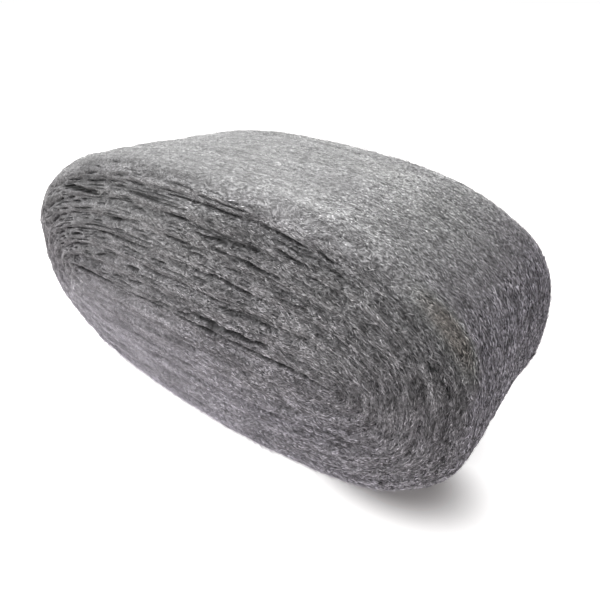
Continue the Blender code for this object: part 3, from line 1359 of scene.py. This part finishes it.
@dataclass
class FibreLayer:
    """A layer of loose steel fibres on one part of the roll.

    Fields:
        name: Name of the finished piece.
        relief: Surface that the fibres lie on.
        patina_and_light: Tone and tint of the steel there, with painted light and shade.
        count: Number of fibres.
        seed: Seed of the fibres' places.
        stations: Range of stations that the layer covers.
        angles: Range of angles, in degrees, that the layer covers.
        shape: Length class of the fibres.
        lie: Whether the fibres lie tucked in or rise from the felt.
        length: Shortest and longest fibre.
        spread: Spread of the fibres' headings round the winding's direction, in degrees.
        proud: How far a fibre stands over the felt, least and most.
        buried: How deep the tips of a tucked fibre lie.
        bow: Spread of the fibres' sideways bend, over their length.
        sag: Most that a short fibre's middle may lie off the line between its ends.
        radius: Thinnest and thickest fibre.
        tones: Dullest and shiniest fibre; the spread is partly random steel tone and its bright end partly
            painted glints.
        tries_each: Places drawn for each fibre, from which the fitting ones are taken.
        slit_room: Share of the fibres that keep out of a deep slit.
        slit_edge: Depths between which they do.
        core_gap: Distance that every fibre keeps from the core line.
        shiny_weight: Weight of shiny fibres in the draw of a fibre's tone.
        dull_weight: Weight of dull fibres in it.
        even_chance: Draw that every fibre comes to where the tone is calm.
        slit_fade: Depths of the slit between which a fibre gets painted shade.
        slit_darkening: How strong that painted shade is.
        slit_calm: Share of that painted shade which calm places are spared.
        tint_spread: How far the fibres' tints differ by chance.
    """

    name: str
    relief: WebRelief
    patina_and_light: PatinaAndPaintedLight
    count: int
    seed: int
    stations: tuple[float, float]
    angles: tuple[float, float] = (0.0, 360.0)
    shape: FibreShape = FibreShape.SHORT
    lie: Lie = Lie.TUCKED
    length: tuple[float, float] = (0.6 * MM, 1.55 * MM)
    spread: float = 22.0
    proud: tuple[float, float] = (0.02 * MM, 0.15 * MM)
    buried: float = 0.04 * MM
    bow: float = 0.0
    sag: float = 0.04 * MM
    radius: tuple[float, float] = (0.042 * MM, 0.080 * MM)
    tones: tuple[float, float] = (0.03, 1.08)
    tries_each: int = 4
    slit_room: float = 0.75
    slit_edge: Fade = Fade(0.25 * MM, 0.8 * MM)
    core_gap: float = 0.2 * MM
    shiny_weight: float = 0.65
    dull_weight: float = 1.1
    even_chance: float = 0.38
    slit_fade: Fade = Fade(0.1 * MM, 0.8 * MM)
    slit_darkening: float = 0.75
    slit_calm: float = 0.4
    tint_spread: float = 0.04

    def starts(self, rng: np.random.Generator) -> tuple[np.ndarray, np.ndarray]:
        """Draws the places of the fibres' middles, even over the surface but few in the slits.

        Args:
            rng: Source of chance.

        Returns:
            Angle and station of each fibre's middle.
        """
        winding = self.relief.winding
        tries = self.count * self.tries_each
        angle = np.radians(rng.uniform(*self.angles, tries))
        station = rng.uniform(*self.stations, tries)
        pace = winding.pace(angle, station)
        room = pace * (1.0 - self.slit_room * self.slit_edge.rise(self.relief.slit(angle, station)))
        kept = np.flatnonzero(rng.uniform(0.0, pace.max(), tries) < room)[: self.count]
        if kept.size < self.count:
            LOG.warning("%s: room for %d fibres only", self.name, kept.size)
        return angle[kept], station[kept]

    def routes(
            self, rng: np.random.Generator, shares: np.ndarray,
    ) -> tuple[np.ndarray, np.ndarray, np.ndarray]:
        """Course of every fibre.

        Args:
            rng: Source of chance.
            shares: Places along a fibre, from -1 to 1, at which its course is wanted.

        Returns:
            Points of every fibre at those places, and the angle and station of its middle.
        """
        winding = self.relief.winding
        angle, station = self.starts(rng)
        made = angle.size
        length = rng.uniform(*self.length, made)[:, None]
        heading = np.radians(rng.normal(0.0, self.spread, made))[:, None]
        bow = rng.normal(0.0, self.bow, made)[:, None] * length
        along = shares * length / 2.0
        bowed = bow * (1.0 - shares ** 2)
        pace = winding.pace(angle, station)[:, None]
        angles = angle[:, None] + (np.cos(heading) * along - np.sin(heading) * bowed) / pace
        stations = station[:, None] + np.sin(heading) * along + np.cos(heading) * bowed
        limit = winding.last_station - self.core_gap
        stations = np.clip(stations, -limit, limit)
        proud = rng.uniform(*self.proud, made)[:, None]
        if self.lie is Lie.TUCKED:
            above = proud * (1.0 - shares ** 2) - self.buried * shares ** 2
        else:
            above = proud * (shares + 1.0) / 2.0 - self.buried
        courses = self.relief.points(angles, stations, above)
        if self.shape is FibreShape.SHORT:
            courses = self.straighten(courses)
        return courses, angle, station

    def straighten(self, courses: np.ndarray) -> np.ndarray:
        """Takes out most of the sag of short fibres, which would make wide blades of them.

        Args:
            courses: First end, middle and last end of each fibre.

        Returns:
            The same places, with the middle no further than the stated sag from the ends' line.
        """
        off = courses[:, 1:2] - (courses[:, :1] + courses[:, 2:]) / 2.0
        size = np.maximum(np.linalg.norm(off, axis=-1, keepdims=True), TINY)
        excess = off * (1.0 - np.minimum(self.sag / size, 1.0))
        return courses + excess * STRAIGHTENING[:, None]

    def build(self, finish: bpy.types.Material) -> bpy.types.Object:
        """Models one fibre, copies it and lays every copy along its own course.

        Args:
            finish: Material of the fibres.

        Returns:
            The layer, with its place in its mesh.
        """
        rng = np.random.default_rng(self.seed)
        layer = model_fibre(self.shape)
        layer.name = layer.data.name = self.name
        pattern = np.array([tuple(vertex.co) for vertex in layer.data.vertices])
        shares, ring = np.unique(pattern[:, 2].round(3), return_inverse=True)
        courses, angle, station = self.routes(rng, shares)
        made = len(courses)
        copies = layer.modifiers.new("copies", "ARRAY")
        copies.count = made
        copies.use_relative_offset = False
        bpy.ops.object.modifier_apply(modifier=copies.name)
        ahead = unit(courses[:, -1] - courses[:, 0])
        _, outward = self.relief.winding.place(angle, station)
        sideways = unit(np.cross(ahead, outward))
        outward = np.cross(sideways, ahead)
        roll = rng.uniform(0.0, math.tau, made)[:, None]
        first = sideways * np.cos(roll) + outward * np.sin(roll)
        second = outward * np.cos(roll) - sideways * np.sin(roll)
        radius = rng.uniform(*self.radius, made)[:, None, None]
        offset = first[:, None] * pattern[None, :, :1] + second[:, None] * pattern[None, :, 1:2]
        points = courses[:, ring.ravel()] + radius * offset
        points[..., 2] = np.maximum(points[..., 2], 0.0)
        mesh = layer.data
        mesh.vertices.foreach_set("co", points.ravel())
        self.map_tones(mesh, rng, pattern, angle, station)
        mesh.update()
        mesh.shade_smooth()
        mesh.materials.clear()
        mesh.materials.append(finish)
        return layer

    def map_tones(self, mesh: bpy.types.Mesh, rng: np.random.Generator, pattern: np.ndarray,
                  angle: np.ndarray, station: np.ndarray) -> None:
        """Lays each fibre out on the map at its own tone and tint, in a small patch.

        Args:
            mesh: Mesh of the whole layer.
            rng: Source of chance.
            pattern: Vertices of one fibre.
            angle: Angle of each fibre's middle.
            station: Station of each fibre's middle.
        """
        made = angle.size
        # Fibre tones differ at random; the brightest also stand for painted glints.
        chance = rng.beta(self.shiny_weight, self.dull_weight, made)
        calm = self.patina_and_light.calm(angle, station)
        # The fibres take on the steel's tone with its painted light and shade.
        tone = mix(*self.tones, mix(chance, self.even_chance, calm)) * self.patina_and_light.tone(angle, station)
        # Painted shade: fibres in the slits are darkened.
        painted_slit_shade = self.slit_fade.rise(self.relief.slit(angle, station)) * (1.0 - self.slit_calm * calm)
        tone = np.clip(tone * (1.0 - self.slit_darkening * painted_slit_shade), *TONE_LIMITS)
        tint = self.patina_and_light.tint(angle, station) + rng.normal(0.0, self.tint_spread, made)
        tint = np.clip(tint, *TINT_LIMITS)
        turn = np.arctan2(pattern[:, 1], pattern[:, 0]) / math.tau
        across, upward = PATCH_WIDTH * turn, PATCH_HEIGHT * pattern[:, 2] + PATCH_SLANT * turn
        place = np.stack([tone[:, None] + across, tint[:, None] + upward], -1)
        corners = np.empty(len(mesh.loops), int)
        mesh.loops.foreach_get("vertex_index", corners)
        for old in list(mesh.uv_layers):
            mesh.uv_layers.remove(old)
        own_map = mesh.uv_layers.new(name=FIBRE_MAP)
        own_map.uv.foreach_set("vector", place.reshape(-1, 2)[corners].astype(np.float32).ravel())


@dataclass(frozen=True)
class Viewpoint:
    """The camera, by its turn and height round the pad's core and the point that it looks at.

    Fields:
        azimuth: Turn round the pad, in degrees from straight in front of the near face.
        elevation: Height over the table, in degrees.
        distance: Distance from the point that it looks at.
        aim_right: Distance of that point to the right of the core's middle.
        aim_up: Distance of that point above the core's middle.
        lens: Focal length, in the camera's own millimetres.
        sensor: Width of the sensor, in the same.
        nearest: Distance from which things show.
        farthest: Distance up to which they show.
    """

    azimuth: float = 39.75
    elevation: float = 28.16
    distance: float = 124.1 * MM
    aim_right: float = 5.77 * MM
    aim_up: float = -5.73 * MM
    lens: float = 35.36
    sensor: float = 36.0
    nearest: float = 5.0 * MM
    farthest: float = 50.0

    def place(self, core: Vector) -> bpy.types.Object:
        """Puts the camera in the scene.

        Args:
            core: Middle of the pad's core line.

        Returns:
            The camera.
        """
        turn, height = math.radians(self.azimuth), math.radians(self.elevation)
        level = math.cos(height)
        back = Vector((math.sin(turn) * level, -math.cos(turn) * level, math.sin(height)))
        right = Vector((math.cos(turn), math.sin(turn), 0.0))
        upward = back.cross(right)
        lens = bpy.data.cameras.new("camera")
        lens.lens = self.lens
        lens.sensor_width = self.sensor
        lens.clip_start = self.nearest
        lens.clip_end = self.farthest
        camera = bpy.data.objects.new("camera", lens)
        bpy.context.scene.collection.objects.link(camera)
        camera.location = core + right * self.aim_right + upward * self.aim_up + back * self.distance
        camera.rotation_mode = "QUATERNION"
        camera.rotation_quaternion = (-back).to_track_quat("-Z", "Y")
        bpy.context.scene.camera = camera
        return camera


@dataclass(frozen=True)
class ContactShade:
    """Oval patch of the table, close to where the pad rests, that shows the pad's shadow.

    Fields:
        centre: Middle of the patch.
        reach: Half sizes of the patch along X and Y.
        glow: Glow of the table in the middle of the patch; the less, the darker the shadow there.
        full: Share of the reach inside which the glow stays at that level.
    """

    centre: tuple[float, float]
    reach: tuple[float, float]
    glow: float
    full: float


@dataclass(frozen=True)
class Lamp:
    """Square soft lamp that faces the pad.

    Fields:
        name: Name of the lamp.
        place: Where it hangs.
        size: Side of the lamp.
        power: Light that it gives, in watts.
    """

    name: str
    place: tuple[float, float, float]
    size: float
    power: float

    def hang(self, faced: Vector) -> None:
        """Hangs the lamp.

        Args:
            faced: Point that it faces.
        """
        lamp = bpy.data.lights.new(self.name, "AREA")
        lamp.size = self.size
        lamp.energy = self.power
        holder = bpy.data.objects.new(self.name, lamp)
        bpy.context.scene.collection.objects.link(holder)
        holder.location = self.place
        holder.rotation_mode = "QUATERNION"
        holder.rotation_quaternion = (faced - Vector(self.place)).to_track_quat("-Z", "Y")


@dataclass
class Studio:
    """White table, soft light from above and the left, and a white background.

    Fields:
        table_size: Side of the table.
        table_colour: Colour of the table, which tints the pad's shadow.
        table_roughness: Roughness of the table.
        table_gloss: Strength of its mirror reflection.
        far_glow: Glow that turns the open table plain white.
        shades: Patches with less glow, where the pad's shadow falls.
        sky_light: Strength of the even light from all round.
        lamps: The lamps.
        faced: Point that the lamps face.
    """

    table_size: float = 6.0
    table_colour: Colour = (0.80, 0.765, 0.755)
    table_roughness: float = 0.9
    table_gloss: float = 0.1
    far_glow: float = 0.90
    shades: tuple[ContactShade, ...] = (
        ContactShade((37.5 * MM, -8.8 * MM), (22.0 * MM, 15.2 * MM), 0.03, 0.30),
        ContactShade((2.0 * MM, 4.0 * MM), (52.0 * MM, 26.0 * MM), 0.12, 0.56),
    )
    sky_light: float = 0.46
    lamps: tuple[Lamp, ...] = (
        Lamp("key_lamp", (-0.22, 0.20, 0.55), 0.45, 4.15),
        Lamp("fill_lamp", (-0.50, -0.30, 0.22), 0.35, 2.65),
    )
    faced: tuple[float, float, float] = (0.0, 0.0, 25.0 * MM)

    def build(self) -> None:
        """Makes the table, the sky and the lamps."""
        self.lay_table()
        self.light_sky()
        for lamp in self.lamps:
            lamp.hang(Vector(self.faced))

    def shown_rays(self, tree: bpy.types.NodeTree) -> bpy.types.NodeSocket:
        """Finds the rays that show the background: camera, glossy and transmission.

        Args:
            tree: Tree that needs to know.

        Returns:
            Socket that is 1 for those rays and 0 for the others.
        """
        rays = add_node(tree, "ShaderNodeLightPath").outputs
        seen = add_node(tree, "ShaderNodeMath", {
            0: rays["Is Camera Ray"], 1: rays["Is Glossy Ray"]}, operation="MAXIMUM")
        shown = add_node(tree, "ShaderNodeMath", {
            0: seen.outputs["Value"], 1: rays["Is Transmission Ray"]}, operation="MAXIMUM")
        return shown.outputs["Value"]

    def lay_table(self) -> None:
        """Lays a white table that keeps the pad's shadow and turns plain white further off."""
        deselect_all()
        bpy.ops.mesh.primitive_plane_add(size=self.table_size, location=(0.0, 0.0, 0.0))
        table = bpy.context.active_object
        table.name = "table_top"
        paint, tree, surface = new_material("white_table")
        level = self.far_glow
        for shade in self.shades:
            level = self.shade_glow(tree, shade, level)
        glow = add_node(tree, "ShaderNodeMath", {0: self.shown_rays(tree), 1: level}, operation="MULTIPLY")
        feed(tree, surface, {
            "Base Color": (*self.table_colour, 1.0), "Roughness": self.table_roughness,
            "Specular IOR Level": self.table_gloss, "Emission Color": (1.0, 1.0, 1.0, 1.0),
            "Emission Strength": glow.outputs["Value"]})
        table.data.materials.append(paint)

    def shade_glow(self, tree: bpy.types.NodeTree, shade: ContactShade, level: Feed) -> bpy.types.NodeSocket:
        """Lowers the table's glow over one patch.

        Args:
            tree: The table's node tree.
            shade: The patch.
            level: Glow so far, as a number or the socket that gives it.

        Returns:
            Socket that gives the glow with the patch.
        """
        place = add_node(tree, "ShaderNodeTexCoord")
        beside = add_node(tree, "ShaderNodeVectorMath", {
            0: place.outputs["Object"], 1: (*shade.centre, 0.0)}, operation="SUBTRACT")
        scaled = add_node(tree, "ShaderNodeVectorMath", {
            0: beside.outputs["Vector"], 1: (*shade.reach, 1.0)}, operation="DIVIDE")
        away = add_node(tree, "ShaderNodeVectorMath", {0: scaled.outputs["Vector"]}, operation="LENGTH")
        rise = add_node(tree, "ShaderNodeMapRange", {
            "Value": away.outputs["Value"], "From Min": shade.full, "From Max": 1.0,
            "To Min": shade.glow, "To Max": self.far_glow}, interpolation_type="SMOOTHSTEP")
        lower = add_node(tree, "ShaderNodeMath", {0: rise.outputs["Result"], 1: level}, operation="MINIMUM")
        return lower.outputs["Value"]

    def light_sky(self) -> None:
        """Lights the pad evenly from all round with a sky that the camera sees as white."""
        world = bpy.data.worlds.new("studio")
        bpy.context.scene.world = world
        world.use_nodes = True
        tree = world.node_tree
        tree.nodes.clear()
        white = (1.0, 1.0, 1.0, 1.0)
        light, backdrop = (
            add_node(tree, "ShaderNodeBackground", {"Color": white, "Strength": strength})
            for strength in (self.sky_light, 1.0))
        blend = add_node(tree, "ShaderNodeMixShader", {
            "Fac": self.shown_rays(tree), 1: light.outputs["Background"], 2: backdrop.outputs["Background"]})
        add_node(tree, "ShaderNodeOutputWorld", {"Surface": blend.outputs["Shader"]})


def millimetres(low: float, high: float) -> tuple[float, float]:
    """Range given in millimetres, in metres."""
    return low * MM, high * MM


NAP = {"lie": Lie.RISING, "spread": 45.0, "length": millimetres(0.8, 2.4), "proud": millimetres(0.12, 0.65),
       "radius": millimetres(0.010, 0.019), "tones": (0.35, 0.8)}
FUZZ = {"lie": Lie.RISING, "spread": 50.0, "length": millimetres(1.2, 3.0), "proud": millimetres(0.2, 1.0),
        "radius": millimetres(0.008, 0.015), "tones": (0.5, 0.9)}
FINE = {"spread": 17.0, "length": millimetres(0.45, 1.3), "proud": millimetres(0.01, 0.09),
        "radius": millimetres(0.028, 0.050), "tones": (0.46, 0.62)}
MIDDLING = {"spread": 18.0, "length": millimetres(0.5, 1.5), "proud": millimetres(0.02, 0.12),
            "radius": millimetres(0.032, 0.058), "tones": (0.14, 0.96)}
COMBED = {"length": millimetres(0.5, 1.4), "radius": millimetres(0.028, 0.050), "tones": (0.12, 0.80)}
COARSE = {"length": millimetres(0.6, 1.7), "proud": millimetres(0.03, 0.17),
          "radius": millimetres(0.046, 0.086), "tones": (0.01, 1.30)}
LOOSE = {"shape": FibreShape.LONG, "bow": 0.06, "spread": 13.0, "length": millimetres(4.0, 9.0),
         "proud": millimetres(0.1, 0.35), "radius": millimetres(0.020, 0.034), "tones": (0.25, 0.6)}


@dataclass
class SteelWoolPad:
    """The whole pad: its felted body and the layers of fibres on it."""

    winding: Winding = field(default_factory=Winding)

    def layers(self, relief: WebRelief, patina_and_light: PatinaAndPaintedLight) -> list[FibreLayer]:
        """Plans the layers of fibres, each on its own part of the roll.

        Args:
            relief: Surface that the fibres lie on.
            patina_and_light: Tone and tint of the steel, with painted light and shade.

        Returns:
            The layers, none of them built yet.
        """
        rim = self.winding.rim_station
        core = self.winding.last_station
        wrap = (-rim - 4.0 * MM, rim + 3.0 * MM)
        far_rim = (rim - 7.0 * MM, rim + 4.0 * MM)
        near_rim = (-rim - 5.0 * MM, 5.0 * MM - rim)
        right_face = (-core, -rim - 1.5 * MM)
        all_over = (-core, core)
        make = partial(FibreLayer, relief=relief, patina_and_light=patina_and_light)
        return [
            make("near_face_right_fibres", count=25000, seed=101, stations=right_face, angles=(-90.0, 90.0)),
            make("near_face_left_fibres", count=27000, seed=111, stations=(-core, -rim), angles=(90.0, 270.0),
                 **COMBED),
            make("upper_wrap_fibres", count=27500, seed=102, stations=wrap, angles=(58.0, 165.0), **FINE),
            make("shoulder_fibres", count=18000, seed=110, stations=wrap, angles=(24.0, 68.0), **MIDDLING),
            make("right_wrap_fibres", count=28000, seed=103, stations=wrap, angles=(-70.0, 28.0), **COARSE),
            make("left_wrap_fibres", count=12000, seed=104, stations=wrap, angles=(165.0, 290.0)),
            make("far_face_fibres", count=14000, seed=105, stations=(rim, core)),
            make("nap_fibres", count=28000, seed=106, stations=all_over, **NAP),
            make("far_rim_fuzz", count=5000, seed=108, stations=far_rim, angles=(-80.0, 200.0), **FUZZ),
            make("near_rim_fuzz", count=4500, seed=109, stations=near_rim, angles=(165.0, 320.0), **FUZZ),
            make("long_fibres", count=1500, seed=107, stations=all_over, **LOOSE),
        ]

    def build(self) -> list[bpy.types.Object]:
        """Builds and dresses every piece and ties it to the frame.

        Returns:
            The pieces, the body first.
        """
        relief, patina_and_light = WebRelief(self.winding), PatinaAndPaintedLight(self.winding)
        colour = SteelColour().group()
        body = FeltedBody(relief, patina_and_light).build(FeltFinish(colour, FibreStreaks().group()).material())
        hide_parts(PAD_NODE)
        fibre = FibreFinish(colour).material()
        pieces = [body] + [layer.build(fibre) for layer in self.layers(relief, patina_and_light)]
        for piece in pieces:
            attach(piece, BODY)
            faces = sum(len(face.vertices) - 2 for face in piece.data.polygons)
            LOG.info("%s: %d triangles", piece.name, faces)
        return pieces


def main() -> None:
    """Builds the pad, its table, light and camera."""
    logging.basicConfig(level=logging.INFO, format="%(message)s")
    bpy.context.scene.view_settings.view_transform = "Standard"
    pad = SteelWoolPad()
    Viewpoint().place(Vector((0.0, 0.0, pad.winding.core_height)))
    Studio().build()
    pad.build()


if __name__ == "__main__":
    main()
